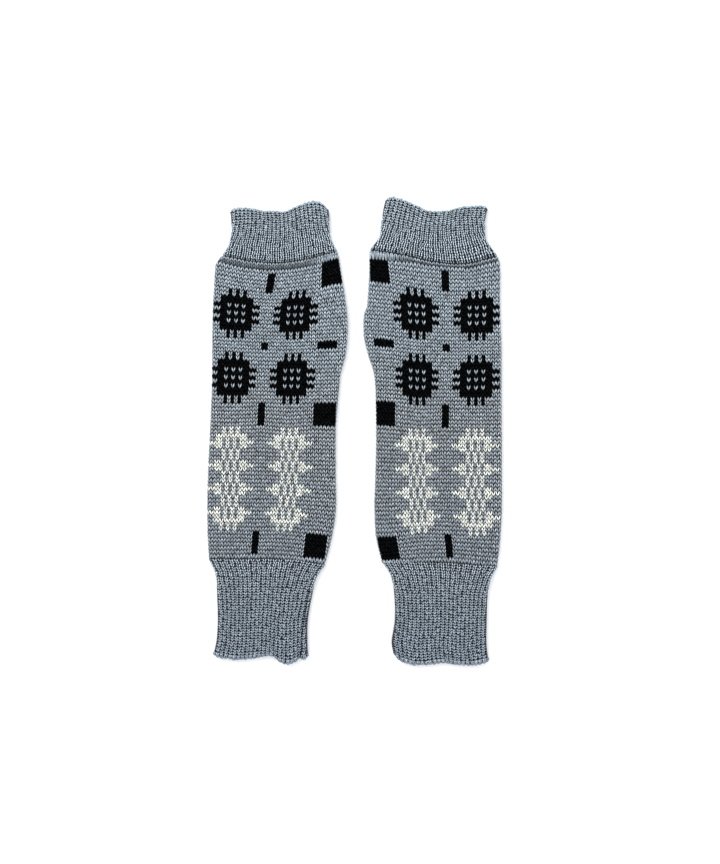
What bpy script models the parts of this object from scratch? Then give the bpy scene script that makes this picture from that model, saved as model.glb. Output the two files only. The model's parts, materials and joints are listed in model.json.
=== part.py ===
"""A pair of knitted fingerless mittens, laid flat and side by side.

Each mitten is a soft tube that lies flat, so its palm and its back rest on each other. It is made of
three knitted pieces: a short rib round the knuckles, the patterned body with its thumb slit, and a deep
rib at the wrist. Metres in the scene, millimetres in the tables. +Y points to the fingers, +Z up.
"""

import math
from collections import namedtuple

import bmesh
import bpy
from mathutils import Matrix

MM = 0.001

# The knitted walls
RIB_WALL = 1.8
BODY_WALL = 1.9
LAYER_GAP = 0.3  # between the palm layer and the back layer
SEAM_GAP = 0.34  # between two knitted pieces, along the mitten
FOLD_PUFF = 0.9  # how much the top layer rises beside a side fold
FOLD_PUFF_REACH = 7.0
RIM_DEPTH = 0.8  # how far from a free edge its wall starts to round off
RIM_THICKNESS = 0.45  # what is left of the wall at a free edge, as a share

# The ribs, raised in the outer points of the wall
HAND_RIBS = 24
WRIST_RIBS = 22
RIB_HEIGHT = 0.9
RIB_SHOULDER = 0.27  # where a rib's shoulder stands, as a share of its pitch

# The linked seam along the top of the body
SEAM_HEIGHT = 0.9

# The thumb slit
SLIT_HALF_GAPE = 0.45
SLIT_DEPTH = 5.0
SLIT_CUT_PAST = 4.0

# How finely a piece is lofted
BODY_TOP_STEPS = 17
FLOOR_STEPS = 6
FOLD_STEPS = 4
RIB_RINGS_BETWEEN = 1  # rings between two levels of a rib's table

# One row for each level of a mitten, from the fingers to the wrist, in millimetres.
# left and right are the side folds. The five heights follow the row of stitches across the mitten:
# at the left fold, at a quarter, in the middle, at three quarters and at the right fold.
# lift is how far the top layer stands up there, which only the linked seam does.
Level = namedtuple(
    "Level", "left right y_left y_quarter y_middle y_three y_right lift", defaults=(0.0,)
)

LEFT_HAND_RIB = [
    Level(-79.6, -16.8, 140.6, 142.6, 140.8, 146.4, 144.0),
    Level(-79.0, -16.1, 133.5, 134.8, 133.8, 138.2, 137.4),
    Level(-78.9, -15.3, 125.3, 126.2, 125.6, 128.8, 129.6),
    Level(-80.6, -13.8, 117.6, 117.2, 116.6, 119.6, 122.2),
]
LEFT_HAND_SEAM = Level(-84.2, -12.0, 111.0, 109.6, 108.8, 111.6, 115.8, 0.5 * SEAM_HEIGHT)
LEFT_BODY = [
    Level(-87.0, -11.0, 108.6, 107.2, 106.4, 109.2, 113.8, SEAM_HEIGHT),
    Level(-88.8, -10.2, 105.4, 103.8, 102.8, 105.4, 110.6),
    Level(-89.7, -8.2, 97.6, 96.4, 95.6, 97.6, 101.8),
    Level(-90.6, -5.6, 83.6, 82.8, 82.2, 83.4, 86.0),
    Level(-91.0, -4.3, 72.0, 71.4, 71.0, 71.8, 73.2),
    Level(-91.2, -4.0, 61.0, 60.7, 60.4, 60.8, 61.6),
    Level(-91.3, -5.0, 48.0, 47.8, 47.6, 48.0, 48.4),
    Level(-91.2, -7.4, 36.6, 36.6, 36.6, 36.6, 36.6),
    Level(-91.6, -10.3, 22.6, 22.6, 22.6, 22.6, 22.6),
    Level(-92.6, -12.0, 1.0, 1.0, 1.0, 0.8, 0.8),
    Level(-93.8, -11.7, -24.0, -24.0, -24.0, -24.4, -24.8),
    Level(-94.6, -11.8, -48.0, -48.2, -48.2, -48.8, -50.0),
    Level(-94.3, -14.4, -67.0, -67.2, -67.2, -67.8, -69.6),
]
LEFT_WRIST_JOIN = Level(-93.5, -17.8, -81.2, -81.4, -81.2, -82.0, -85.0)
LEFT_WRIST_RIB = [
    Level(-89.8, -22.6, -90.4, -90.8, -90.6, -91.2, -92.8),
    Level(-88.4, -26.6, -102.4, -102.8, -102.6, -103.2, -104.0),
    Level(-87.7, -29.8, -119.0, -120.0, -119.6, -121.6, -120.4),
    Level(-88.4, -30.1, -133.0, -134.8, -134.2, -137.0, -134.0),
    Level(-90.6, -29.6, -143.0, -146.2, -145.2, -149.4, -144.6),
]
RIGHT_HAND_RIB = [
    Level(20.3, 85.1, 149.8, 145.9, 141.0, 144.2, 143.2),
    Level(18.8, 84.2, 141.0, 137.6, 133.4, 136.0, 135.8),
    Level(16.9, 83.5, 131.8, 128.6, 125.6, 127.2, 128.0),
    Level(15.4, 84.8, 124.4, 119.8, 116.8, 117.2, 120.0),
]
RIGHT_HAND_SEAM = Level(12.5, 87.4, 117.0, 112.2, 108.8, 107.8, 111.6, 0.5 * SEAM_HEIGHT)
RIGHT_BODY = [
    Level(10.8, 90.8, 114.6, 109.8, 106.4, 105.2, 109.2, SEAM_HEIGHT),
    Level(9.6, 92.8, 110.4, 106.4, 103.2, 102.0, 105.6),
    Level(9.3, 93.2, 100.6, 98.2, 96.0, 95.4, 97.0),
    Level(8.4, 93.0, 85.0, 83.4, 82.2, 81.8, 82.6),
    Level(5.8, 93.3, 73.0, 71.8, 71.0, 70.8, 71.2),
    Level(5.4, 93.6, 62.0, 61.0, 60.4, 60.2, 60.4),
    Level(6.9, 93.9, 49.0, 48.6, 48.4, 48.2, 48.4),
    Level(10.4, 94.0, 37.0, 36.8, 36.6, 36.6, 36.6),
    Level(13.2, 94.1, 22.6, 22.6, 22.6, 22.6, 22.6),
    Level(13.5, 94.6, 1.0, 1.0, 1.0, 1.0, 1.0),
    Level(13.2, 94.3, -24.2, -24.2, -24.2, -24.4, -24.6),
    Level(12.8, 94.4, -49.0, -49.0, -49.2, -49.6, -50.0),
    Level(14.4, 92.9, -68.4, -68.6, -68.8, -69.4, -70.0),
]
RIGHT_WRIST_JOIN = Level(17.8, 91.7, -82.4, -83.4, -83.6, -84.8, -86.0)
RIGHT_WRIST_RIB = [
    Level(22.6, 88.0, -91.4, -92.4, -92.6, -93.6, -94.2),
    Level(25.6, 85.6, -103.6, -104.4, -104.6, -105.2, -105.6),
    Level(26.0, 84.9, -120.0, -121.6, -121.4, -122.4, -121.6),
    Level(23.9, 84.3, -134.4, -137.6, -137.0, -138.2, -136.0),
    Level(24.8, 85.5, -143.8, -149.8, -148.4, -149.8, -146.8),
]

# A fold pressed into the top layer of a wrist rib, running down to the hem: where it lies across the
# mitten, as a share of the width, how deep and how wide it is in millimetres, and the places down the
# piece where it begins and where it has its full depth, as shares of the length.
Crease = namedtuple("Crease", "across depth half_width begin full")
LEFT_WRIST_CREASES = [
    Crease(0.925, 1.2, 1.6, 0.1, 0.5),
    Crease(0.42, 0.4, 4.0, 0.5, 0.9),
]
RIGHT_WRIST_CREASES = [Crease(0.55, 0.4, 4.0, 0.4, 0.8)]

# The open stretch of the thumb seam: which fold it is on, and its two ends along the mitten.
Slit = namedtuple("Slit", "side top bottom")
LEFT_SLIT = Slit("right", 80.0, 43.0)
RIGHT_SLIT = Slit("left", 79.5, 43.0)

YARN_GREY = (0.30, 0.34, 0.38)
RIB_GREY = (0.25, 0.28, 0.32)
WOOL_ROUGHNESS = 0.95


def clear_scene():
    for obj in list(bpy.data.objects):
        bpy.data.objects.remove(obj, do_unlink=True)


def new_collection(name):
    collection = bpy.data.collections.new(name)
    bpy.context.scene.collection.children.link(collection)
    return collection


def wool(name, colour):
    material = bpy.data.materials.new(name)
    material.use_nodes = True
    shader = material.node_tree.nodes["Principled BSDF"]
    shader.inputs["Base Color"].default_value = (*colour, 1.0)
    shader.inputs["Roughness"].default_value = WOOL_ROUGHNESS
    shader.inputs["Metallic"].default_value = 0.0
    return material


def smooth_curve(values, t):
    """The value at t, from 0 to 1, on a smooth curve through evenly spaced values."""
    last = len(values) - 1
    place = min(max(t, 0.0), 1.0) * last
    i = min(int(place), last - 1)
    f = place - i
    before = values[max(i - 1, 0)]
    a = values[i]
    b = values[i + 1]
    after = values[min(i + 2, last)]
    bend = (2 * before - 5 * a + 4 * b - after) * f * f
    twist = (3 * a - before - 3 * b + after) * f * f * f
    return 0.5 * (2 * a + (b - before) * f + bend + twist)


def level_at(levels, t):
    """The level that lies t of the way down a piece, between the levels of its table."""
    columns = zip(*levels)
    return Level(*(smooth_curve(column, t) for column in columns))


def row_height(level, across):
    """The height along +Y of the row of stitches at a share of the mitten's width."""
    heights = [level.y_left, level.y_quarter, level.y_middle, level.y_three, level.y_right]
    return smooth_curve(heights, across)


def crease_depth(creases, level, x, t):
    """How far the top layer is pressed down at x by the creases of its piece."""
    depth = 0.0
    for crease in creases:
        grown = (t - crease.begin) / (crease.full - crease.begin)
        middle = level.left + crease.across * (level.right - level.left)
        apart = (x - middle) / crease.half_width
        depth += crease.depth * min(max(grown, 0.0), 1.0) * math.exp(-apart * apart)
    return depth


def puff(level, x):
    """How far the top layer stands up beside the side folds."""
    near = min(x - level.left, level.right - x)
    return FOLD_PUFF * math.exp(-((near / FOLD_PUFF_REACH) ** 2))


# A station of a section: where it stands on the inside of the wall, and the one or more points that
# stand outside it. Each point is (x, z) in millimetres.
Station = namedtuple("Station", "inner outer")


def top_stations(level, wall, ribs, creases, t):
    """The top layer, from the left fold to the right. With ribs, each has three outer points."""
    low = 2 * wall + LAYER_GAP
    radius = low / 2
    start = level.left + radius
    span = level.right - level.left - 2 * radius
    steps = ribs or BODY_TOP_STEPS
    places = (0.0, RIB_SHOULDER, 1 - RIB_SHOULDER) if ribs else (0.0,)
    stations = []
    for i in range(steps):
        outer = []
        for k, place in enumerate(places):
            x = start + span * (i + place) / steps
            rise = RIB_HEIGHT if ribs and k else 0.0
            z = low + puff(level, x) + rise + level.lift - crease_depth(creases, level, x, t)
            outer.append((x, z))
        x = outer[0][0]
        inner_z = wall + LAYER_GAP + puff(level, x)
        stations.append(Station((x, inner_z), outer))
    return stations


def fold_stations(level, wall, right_side):
    """The wall where it turns over at a side fold, from its higher end to its lower."""
    top = 2 * wall + LAYER_GAP + FOLD_PUFF + level.lift
    edge = level.right if right_side else level.left
    away = 1 if right_side else -1
    radius = (2 * wall + LAYER_GAP) / 2
    hollow = (LAYER_GAP + FOLD_PUFF) / 2
    centre_x = edge - away * radius
    stations = []
    for k in range(FOLD_STEPS + 1):
        turn = math.pi * k / FOLD_STEPS
        out_x = centre_x + away * radius * math.sin(turn)
        out_z = top / 2 + top / 2 * math.cos(turn)
        in_x = centre_x + away * (radius - wall) * math.sin(turn)
        in_z = wall + hollow + hollow * math.cos(turn)
        stations.append(Station((in_x, in_z), [(out_x, out_z)]))
    return stations if right_side else stations[::-1]


def floor_stations(level, wall):
    """The layer that rests on the floor, from the right fold to the left, flat underneath."""
    radius = (2 * wall + LAYER_GAP) / 2
    start = level.right - radius
    span = level.right - level.left - 2 * radius
    stations = []
    for i in range(1, FLOOR_STEPS):
        x = start - span * i / FLOOR_STEPS
        stations.append(Station((x, wall), [(x, 0.0)]))
    return stations


def section(level, wall, ribs, creases, t):
    """One closed section of a mitten, once round: top, right fold, floor, left fold."""
    top = top_stations(level, wall, ribs, creases, t)
    right_fold = fold_stations(level, wall, True)
    left_fold = fold_stations(level, wall, False)
    return top[1:] + right_fold + floor_stations(level, wall) + left_fold


def rounded_off(stations):
    """The same section at a free edge, where the wall is thinner from its outer side."""
    kept = RIM_THICKNESS
    thinned = []
    for station in stations:
        in_x, in_z = station.inner
        outer = [(in_x + kept * (x - in_x), in_z + kept * (z - in_z)) for x, z in station.outer]
        thinned.append(Station(station.inner, outer))
    return thinned


def add_ring(bm, level, points):
    """Adds a ring of vertices that follows the row of stitches of this level."""
    width = level.right - level.left
    ring = []
    for x, z in points:
        y = row_height(level, (x - level.left) / width)
        ring.append(bm.verts.new((x * MM, y * MM, z * MM)))
    return ring


def bridge(bm, first, second):
    """Joins two rings of like count with a band of quads."""
    count = len(first)
    for i in range(count):
        j = (i + 1) % count
        bm.faces.new((first[i], second[i], second[j], first[j]))


def close_rim(bm, counts, inner, outer):
    """Closes the wall's end. Each face spans two inner points and the outer points between them."""
    place = 0
    for i, count in enumerate(counts):
        j = (i + 1) % len(inner)
        across = [outer[(place + k) % len(outer)] for k in range(count + 1)]
        bm.faces.new([inner[j], inner[i]] + across)
        place += count


def mesh_object(name, bm, material, collection):
    bmesh.ops.recalc_face_normals(bm, faces=bm.faces)
    mesh = bpy.data.meshes.new(name)
    bm.to_mesh(mesh)
    bm.free()
    mesh.materials.append(material)
    obj = bpy.data.objects.new(name, mesh)
    collection.objects.link(obj)
    return obj


def moved(level, shift):
    """The level moved along the mitten by this much, towards the fingers if it is positive."""
    heights = [getattr(level, field) + shift for field in Level._fields if field.startswith("y_")]
    return Level(level.left, level.right, *heights, level.lift)


def ring_places(levels, between):
    """The places along a piece, from 0 to 1, at which its rings stand."""
    count = (len(levels) - 1) * (between + 1)
    return [i / count for i in range(count + 1)]


def knitted_tube(name, levels, wall, material, collection, ribs=0, creases=(), between=0, free_end=None):
    """A knitted piece as a closed wall: an outer skin, a plain inside and two rims."""
    rings = []
    for t in ring_places(levels, between):
        level = level_at(levels, t)
        rings.append((level, section(level, wall, ribs, creases, t)))
    if free_end == "fingers":
        edge, stations = rings[0]
        rings[0] = (moved(edge, -RIM_DEPTH), stations)
        rings.insert(0, (edge, rounded_off(stations)))
    if free_end == "wrist":
        edge, stations = rings[-1]
        rings[-1] = (moved(edge, RIM_DEPTH), stations)
        rings.append((edge, rounded_off(stations)))
    bm = bmesh.new()
    outer = []
    inner = []
    for level, stations in rings:
        outer.append(add_ring(bm, level, [point for station in stations for point in station.outer]))
        inner.append(add_ring(bm, level, [station.inner for station in stations]))
    for skin in (outer, inner):
        for first, second in zip(skin, skin[1:]):
            bridge(bm, first, second)
    counts = [len(station.outer) for station in rings[0][1]]
    close_rim(bm, counts, inner[0], outer[0])
    close_rim(bm, counts, inner[-1], outer[-1])
    return mesh_object(name, bm, material, collection)


def cut_thumb_slit(body, slit, levels, cutters):
    """Opens the side fold with a lens that lies along the slit and is thin at both ends."""
    away = 1 if slit.side == "right" else -1
    fold = max(away * getattr(level, slit.side) for level in levels) * away
    half_length = (slit.top - slit.bottom) / 2
    bm = bmesh.new()
    bmesh.ops.create_cone(
        bm, cap_ends=True, segments=16, radius1=1.0, radius2=1.0, depth=SLIT_DEPTH + SLIT_CUT_PAST
    )
    bmesh.ops.scale(bm, verts=bm.verts, vec=(SLIT_HALF_GAPE, half_length, 1.0))
    bmesh.ops.rotate(bm, verts=bm.verts, matrix=Matrix.Rotation(math.pi / 2, 3, "Y"))
    bmesh.ops.scale(bm, verts=bm.verts, vec=(MM, MM, MM))
    cutter = mesh_object(body.name + "_slit_cutter", bm, body.active_material, cutters)
    middle_x = fold + away * (SLIT_CUT_PAST - SLIT_DEPTH) / 2
    middle_y = (slit.top + slit.bottom) / 2
    middle_z = BODY_WALL + (LAYER_GAP + FOLD_PUFF) / 2
    cutter.location = (middle_x * MM, middle_y * MM, middle_z * MM)
    cutter.hide_render = True
    cutter.display_type = "WIRE"
    cut = body.modifiers.new("thumb_slit", "BOOLEAN")
    cut.operation = "DIFFERENCE"
    cut.solver = "EXACT"
    cut.object = cutter


# All that is particular to one mitten
Mitten = namedtuple("Mitten", "side hand_rib hand_seam body wrist_join wrist_rib wrist_creases slit")

MITTENS = [
    Mitten(
        "left", LEFT_HAND_RIB, LEFT_HAND_SEAM, LEFT_BODY, LEFT_WRIST_JOIN, LEFT_WRIST_RIB,
        LEFT_WRIST_CREASES, LEFT_SLIT,
    ),
    Mitten(
        "right", RIGHT_HAND_RIB, RIGHT_HAND_SEAM, RIGHT_BODY, RIGHT_WRIST_JOIN, RIGHT_WRIST_RIB,
        RIGHT_WRIST_CREASES, RIGHT_SLIT,
    ),
]


def build_mitten(mitten, parts, cutters, body_wool, rib_wool):
    half_gap = SEAM_GAP / 2
    flat_seam = mitten.hand_seam._replace(lift=0.0)
    hand = mitten.hand_rib + [moved(flat_seam, half_gap)]
    body = [moved(mitten.hand_seam, -half_gap)] + mitten.body + [moved(mitten.wrist_join, half_gap)]
    wrist = [moved(mitten.wrist_join, -half_gap)] + mitten.wrist_rib
    knitted_tube(
        mitten.side + "_hand_rib", hand, RIB_WALL, rib_wool, parts, HAND_RIBS,
        between=RIB_RINGS_BETWEEN, free_end="fingers",
    )
    cloth = knitted_tube(mitten.side + "_body", body, BODY_WALL, body_wool, parts)
    cut_thumb_slit(cloth, mitten.slit, mitten.body, cutters)
    knitted_tube(
        mitten.side + "_wrist_rib", wrist, RIB_WALL, rib_wool, parts, WRIST_RIBS,
        mitten.wrist_creases, RIB_RINGS_BETWEEN, "wrist",
    )


def main():
    clear_scene()
    parts = new_collection("fingerless_mittens")
    cutters = new_collection("cutters")
    cutters.hide_render = True
    body_wool = wool("patterned_wool", YARN_GREY)
    rib_wool = wool("rib_wool", RIB_GREY)
    for mitten in MITTENS:
        build_mitten(mitten, parts, cutters, body_wool, rib_wool)


main()
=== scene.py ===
# %% [markdown]
# A pair of fingerless mittens in mottled grey wool, laid flat side by side. Each one is a soft tube: a
# short rib round the knuckles, a patterned body in stocking stitch with an open slit for the thumb, and a
# deep rib at the wrist. The pattern of roundels, bars and pronged blocks is the kind woven into
# traditional double-cloth blankets, here knitted in black and cream.
#
# Knitting is made of one shape, the loop, repeated thousands of times. So this lesson works as a knitter
# does: it makes one small stitch with care, repeats it with arrays into a flat panel, gives every stitch
# the colour that a chart says, and then lays that flat panel round the form of the mitten.

# %% Load the frame
import json
import math
from collections import namedtuple

import bmesh
import bpy
import numpy as np
from mathutils import Matrix, Vector

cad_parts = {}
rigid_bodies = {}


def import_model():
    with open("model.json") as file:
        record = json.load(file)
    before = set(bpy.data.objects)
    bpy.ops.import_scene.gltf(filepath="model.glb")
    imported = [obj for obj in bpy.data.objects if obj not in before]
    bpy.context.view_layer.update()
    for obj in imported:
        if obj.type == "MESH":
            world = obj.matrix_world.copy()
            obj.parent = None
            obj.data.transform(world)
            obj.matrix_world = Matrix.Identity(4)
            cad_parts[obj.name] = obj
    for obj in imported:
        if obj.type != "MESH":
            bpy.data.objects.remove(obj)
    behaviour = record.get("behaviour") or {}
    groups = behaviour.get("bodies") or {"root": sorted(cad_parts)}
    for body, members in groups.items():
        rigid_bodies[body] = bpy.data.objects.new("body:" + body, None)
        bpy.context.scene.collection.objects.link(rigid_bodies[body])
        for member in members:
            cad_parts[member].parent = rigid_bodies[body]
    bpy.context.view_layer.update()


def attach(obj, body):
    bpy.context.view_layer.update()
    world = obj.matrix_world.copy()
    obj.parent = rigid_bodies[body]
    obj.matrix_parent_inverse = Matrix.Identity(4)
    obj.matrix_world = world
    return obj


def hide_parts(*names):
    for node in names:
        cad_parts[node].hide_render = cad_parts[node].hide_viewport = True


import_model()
MM = 0.001
UP = Vector((0, 0, 1))
chance = np.random.default_rng(7)

# %% [markdown]
# The form of each mitten is a list of levels from the fingers to the wrist: where its two side folds are,
# and the height of the row of stitches at five places across it. Millimetres are easier to think in for
# a thing this small, and they become metres at the very end.

# %% The levels of both mittens
Level = namedtuple("Level", "left right y_left y_quarter y_middle y_three y_right lift", defaults=(0.0,))
SEAM_RISE = 0.9


def rows_of(text):
    """Rows of numbers, one to a line."""
    return [tuple(map(float, line.split())) for line in text.strip().splitlines()]


def levels_of(text):
    return [Level(*row) for row in rows_of(text)]


LEFT_HAND_RIB = levels_of("""
-79.6 -16.8 140.6 142.6 140.8 146.4 144
-79 -16.1 133.5 134.8 133.8 138.2 137.4
-78.9 -16.2 125.3 126.2 125.6 128.8 129.6
-80.4 -15.4 118.6 117.2 116.6 119.6 122.4
""")
LEFT_HAND_SEAM = Level(-84.3, -11.6, 112.4, 109.0, 107.9, 110.6, 115.0, 0.5 * SEAM_RISE)
LEFT_BODY_TOP = Level(-86.4, -10.8, 110.4, 107, 105.8, 108.4, 113, SEAM_RISE)
LEFT_BODY = [LEFT_BODY_TOP] + levels_of("""
-89 -10 106.8 103.8 102.8 105.2 109.6
-89.7 -8.8 98.2 96.4 95.6 97.6 101.8
-90.6 -6.2 83.6 82.8 82.2 83.4 86
-91 -4.6 72 71.4 71 71.8 73.2
-91.2 -4.5 61 60.7 60.4 60.8 61.6
-91.3 -5.7 48 47.8 47.6 48 48.4
-91.2 -8.8 36.6 36.6 36.6 36.6 36.6
-91.6 -10.3 22.6 22.6 22.6 22.6 22.6
-92.6 -12 1 1 1 0.8 0.8
-93.8 -12.1 -24 -24 -24 -24.4 -24.8
-94.4 -12 -48 -48.2 -48.2 -48.8 -50
-94.1 -14.9 -67 -67.2 -67.2 -67.8 -69.6
""")
LEFT_WRIST_JOIN = Level(-93.3, -19.0, -81.2, -81.4, -81.2, -82.0, -85.0)
LEFT_WRIST_RIB = levels_of("""
-89.1 -24.1 -90.4 -90.8 -90.6 -91.2 -92.8
-88.2 -27 -102.4 -102.8 -102.6 -103.2 -104
-87.7 -29.8 -119 -120 -119.6 -121.6 -120.4
-88.4 -30.1 -133 -134.8 -134.2 -137 -134
-90.6 -29.6 -143 -146.2 -145.2 -149.4 -144.6
""")
RIGHT_HAND_RIB = levels_of("""
19.6 85.1 149.8 145.9 141 144.2 143.2
17.9 83.5 141 137.6 133.4 136 135.8
16.9 83.3 131.8 128.6 125.6 127.2 128
16 84 124.2 119.8 116.8 117.2 121.6
""")
RIGHT_HAND_SEAM = Level(10.0, 90.8, 115.9, 113.4, 108.9, 107.5, 111.9, 0.5 * SEAM_RISE)
RIGHT_BODY_TOP = Level(9.4, 92, 113.2, 110.6, 105.9, 105, 109.6, SEAM_RISE)
RIGHT_BODY = [RIGHT_BODY_TOP] + levels_of("""
9.2 92.8 110.2 106.8 103.2 102.2 106.4
9.1 93 100.8 98.2 96 95.4 97.8
8.3 92.9 87 85.4 84.2 83.8 84.6
7.7 93 79.4 78 77 76.7 77.3
5.6 93.2 74 72.8 72 71.8 72.2
5.4 93.6 62 61 60.4 60.2 60.4
8.2 93.8 49 48.6 48.4 48.2 48.4
12 93.8 37 36.8 36.6 36.6 36.6
13.2 93.8 22.6 22.6 22.6 22.6 22.6
13.5 94 1 1 1 1 1
13.2 94.1 -24.2 -24.2 -24.2 -24.4 -24.6
12.4 94 -49 -49 -49.2 -49.6 -50
13.6 92.9 -68.4 -68.6 -68.8 -69.4 -70
""")
RIGHT_WRIST_JOIN = Level(17.0, 91.1, -82.4, -83.4, -83.6, -84.8, -86.0)
RIGHT_WRIST_RIB = levels_of("""
22.6 87.1 -91.4 -92.4 -92.6 -93.6 -94.2
25 84.9 -103.6 -104.4 -104.6 -105.2 -105.6
25.4 84.4 -120 -121.6 -121.4 -122.4 -121.6
23.3 84.3 -134.4 -137.6 -137 -138.2 -136
24.8 85.5 -143.8 -149.8 -148.4 -149.8 -146.8
""")

# A fold pressed into a wrist rib: where it lies across, how far it leans on its way down, its depth and
# half width, and where down the rib it begins and is full.
Crease = namedtuple("Crease", "across lean depth half_width begin full")
LEFT_WRIST_CREASES = [Crease(0.975, -0.065, 1.2, 1.6, 0.1, 0.5), Crease(0.42, 0.0, 0.4, 4.0, 0.5, 0.9)]
RIGHT_WRIST_CREASES = [Crease(0.55, 0.0, 0.4, 4.0, 0.4, 0.8)]

# %% [markdown]
# A stitch has its place in rows and columns: knitters call them courses and wales. The wales don't run
# straight, because the mitten bulges at the thumb and the pattern was stretched as it was pressed. So a
# second table says where seven of the wales lie at some of the courses, as if the top layer went
# straight on past its folds. The stitches between them share out the space.
#
# The columns of the chart are counted from the thumb side. The left mitten is the right one mirrored.

# %% Wales of the patterned body
# Each row has a course, and then where these wales lie: the slit's edge, two sides of the square, the
# first block, the bar, the second block's end and the fold
CHART_WALES = [-3, 0, 6, 8, 20, 34, 37]
LEFT_WALES = rows_of("""
0 -3 -10.2 -20.9 -25.6 -49.6 -83.4 -90.3
6 -2.5 -7.6 -21.2 -26.5 -52.2 -85 -91.7
12 -3.6 -9.6 -23.6 -29 -53.9 -86.1 -93.2
20 -3.3 -11.3 -23.8 -29 -55.2 -86.6 -93.8
26 -5 -11.6 -24.9 -30.5 -56 -87.6 -94.4
38 -5.6 -11.9 -26.5 -31.4 -57.4 -88.5 -95.2
45 -6.1 -12.2 -26.9 -32 -58.1 -88.9 -95.6
54 -6.8 -12.8 -26.9 -31.9 -58.1 -89.3 -96.2
66 -9.6 -16.3 -30.3 -34.9 -60.1 -90.4 -97.2
70 -10.6 -17.5 -31.5 -36.3 -61.1 -90.9 -97.5
76 -12.4 -19.8 -33.4 -38 -62.3 -91.6 -98
""")
RIGHT_WALES = rows_of("""
0 2.8 8.6 20.8 26.2 55.1 88.4 95.3
10 5.9 10.8 24.2 29.3 56 88.3 95.2
15 4.7 11.7 24.9 29.9 56.1 88.2 95.1
20 4.8 12.2 24.8 30.1 56.1 88.1 95
26 7.5 12.7 26 30.4 55.8 87.8 94.8
33 7.3 12.9 26.1 30.4 55.2 87.6 94.7
38 7.4 13 25.6 30.6 55.7 87.5 94.8
44 7.7 13.6 25.7 30.3 55.2 86.9 94.7
56 8.6 14.4 26.4 30.6 55.2 87 94.8
66 8.8 14.3 26.3 31.2 56.7 87.8 95.3
69 8.4 13.9 26 31.3 57.2 88.2 95.5
76 9.8 16.2 29.4 34 58.8 89 95.9
""")
BODY_WALES = 40
print("wales across a body:", BODY_WALES)

# %% [markdown]
# The courses aren't straight either. One table gives their height in the middle of the body. Another
# says how far each one rises above that at seven wales, because the knitting was pulled up at the thumb.
# Where the rise grows from one course to the next, the stitches there are squeezed.

# %% Courses of the patterned body
# Some courses, each with its height in the middle of the body, from the linked seam to the wrist
LEFT_COURSES = rows_of("""
-4 113.2
0 104
6 90.3
19 58.6
23 49.6
36 17.3
42 3.7
69 -63.6
76 -81.2
80 -91.2
""")
RIGHT_COURSES = rows_of("""
-4 114.6
0 105.4
6 90.3
19 58.1
23 49
36 16.5
42 2
69 -66.2
76 -83.8
80 -93.8
""")
RISE_WALES = [0, 3, 6, 13, 21, 29, 36]  # each row has a course and its rise at these wales
LEFT_RISES = rows_of("""
-1 0 0 0 0 0 0 0
0 -0.2 -0.6 -1 -1 -0.6 -0.4 0.4
6 -0.7 -0.5 -1 -0.8 -1.9 -0.6 1
12 -0.2 -0.1 -0.2 -0.4 -0.2 0.6 1.3
20 1 0.9 0.8 0.3 0.5 1 1.6
24 0.4 0.4 0.3 0.3 0.3 1.1 1.8
29 0.6 0.5 0.3 0.4 0.6 1.2 1.9
36 1.1 1 0.9 0.3 1.2 0.8 1
42 0 0.2 0.4 -1.2 0.5 -0.3 0.1
55 0.2 0.3 0.4 0.6 0.9 1.3 1.3
69 -0.6 -0.3 -0.5 0.5 0.1 0.6 0.6
75 1.1 0.7 0.1 0.5 1 0.9 0.6
78 0 0 0 0 0 0 0
""")
RIGHT_RISES = rows_of("""
-1 0.5 0.5 0.2 0 0 0 0
-0.4 -0.4 -0.4 -0.3 0 0.5 0 0
0 -2 -1.9 -1.4 0 0.8 0 0
6 1.8 1.7 1.9 0.5 -0.3 -0.1 0
12 2.2 2 1.8 0.6 0.1 0.2 0.2
20 2.8 2.5 2.3 0.7 0.1 0.2 0.2
29 2.8 2.5 1.8 0.4 0.2 0.4 0.8
36 3 2.8 2.4 0.3 0.7 0.3 0.5
42 2.3 1.9 1.5 -0.2 0.7 0.1 0.3
55 0.9 0.8 0.6 0.3 0.6 0.9 0.9
64 0 0.2 0.6 1.2 0.9 0.8 0.8
69 -1.4 -1.3 -1 1 0.8 0.5 0.4
75 -1.8 -1.4 -0.3 0.9 1.5 0.9 0.5
78 0 0 0 0 0 0 0
""")
LINK_COURSE = {"left": -1.54, "right": -1.18}  # where the linked seam begins
FIRST_COURSE = -1
BODY_COURSES = 76
print("courses of a body:", BODY_COURSES - FIRST_COURSE)

# %% [markdown]
# The free edges. A cast-on edge and a bound hem never lie quite straight. These points follow the two
# edges of each mitten across, round the corners too, and the last courses of the rib bend with them.

# %% The free edges
LEFT_FINGER_EDGE = rows_of("""
-79.8 140
-78.4 142.3
-74.6 143.4
-69.1 143.3
-63.5 142.1
-57.9 140.8
-51 141.1
-44.7 140.4
-39.4 142.8
-34.8 145.2
-29.6 147
-25.3 147.7
-21.9 147
-19.2 144.4
-17 141.1
""")
LEFT_HEM_EDGE = rows_of("""
-90.6 -142.6
-88.4 -144.6
-83.3 -145.6
-77.4 -146.5
-70 -146.1
-62.7 -145.4
-55.3 -143.5
-51.6 -144.2
-48.7 -147.2
-44.3 -149.4
-40.6 -149.3
-36.9 -147.2
-35.3 -145
-33.8 -146.4
-31.8 -146.3
-29.6 -143.6
""")
RIGHT_FINGER_EDGE = rows_of("""
19.6 147.4
21.2 149.4
25.6 150
30.4 148.7
36.2 146.2
40.8 144.4
44.4 141.7
48.6 140.7
60.1 141
64.3 142.5
70.1 143.9
81.5 144.6
84 143.8
85.1 141.4
""")
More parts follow.
